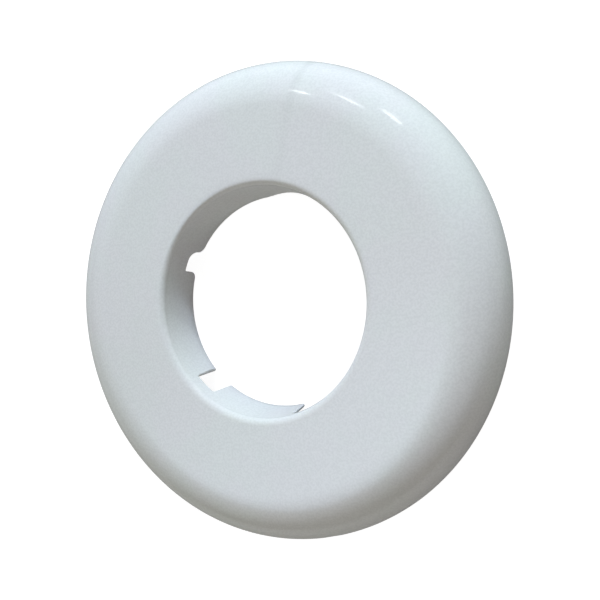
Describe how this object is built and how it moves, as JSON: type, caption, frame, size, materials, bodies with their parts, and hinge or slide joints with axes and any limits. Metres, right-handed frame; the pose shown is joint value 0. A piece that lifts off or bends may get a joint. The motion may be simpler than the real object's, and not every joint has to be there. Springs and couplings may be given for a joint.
{
  "type": "pipe rosette",
  "caption": "Round white plastic wall rosette with a flat front, a rounded rim, an open back and a slotted springy collar that closes on a waste pipe.",
  "frame": {"origin": "on the pipe's axis, in the plane of the wall that the rim's back edge stands on", "axes": "+Z along the pipe's axis, out of the front face into the room; +Y up in the picture; +X towards the picture's right"},
  "size_m": [0.112, 0.112, 0.0106],
  "materials": {
    "white_plastic": "glossy injection-moulded, cool white"
  },
  "bodies": {
    "root": {"rosette": "white_plastic"}
  },
  "joints": []
}
